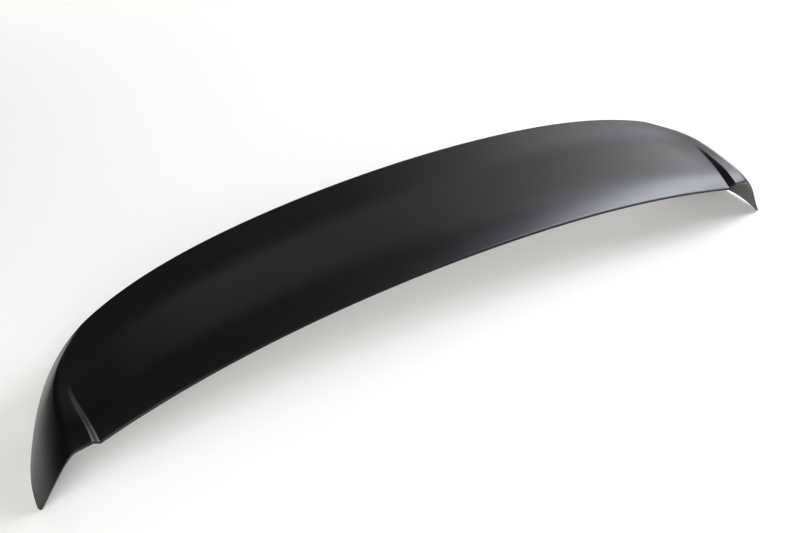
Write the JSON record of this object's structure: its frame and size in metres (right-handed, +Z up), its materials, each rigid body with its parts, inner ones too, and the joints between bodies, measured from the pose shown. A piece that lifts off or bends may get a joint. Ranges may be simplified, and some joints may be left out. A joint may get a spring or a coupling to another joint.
{
  "type": "roof spoiler",
  "caption": "Arched roof spoiler shell with a swept front edge, low stepped rear corners and flared side fins, in satin black plastic.",
  "frame": {"origin": "middle of the bounding box's underside: on the floor that the fins stand on, halfway between the fin tips and halfway between the front and rear edges", "axes": "+X across the car along the longest extent, +Y towards the front edge, which is bonded to the roof, +Z up"},
  "size_m": [1.123, 0.2172, 0.1515],
  "materials": {
    "shell_black": "satin black moulded plastic with a faint grain"
  },
  "bodies": {
    "root": {"spoiler_shell": "shell_black"}
  },
  "joints": []
}
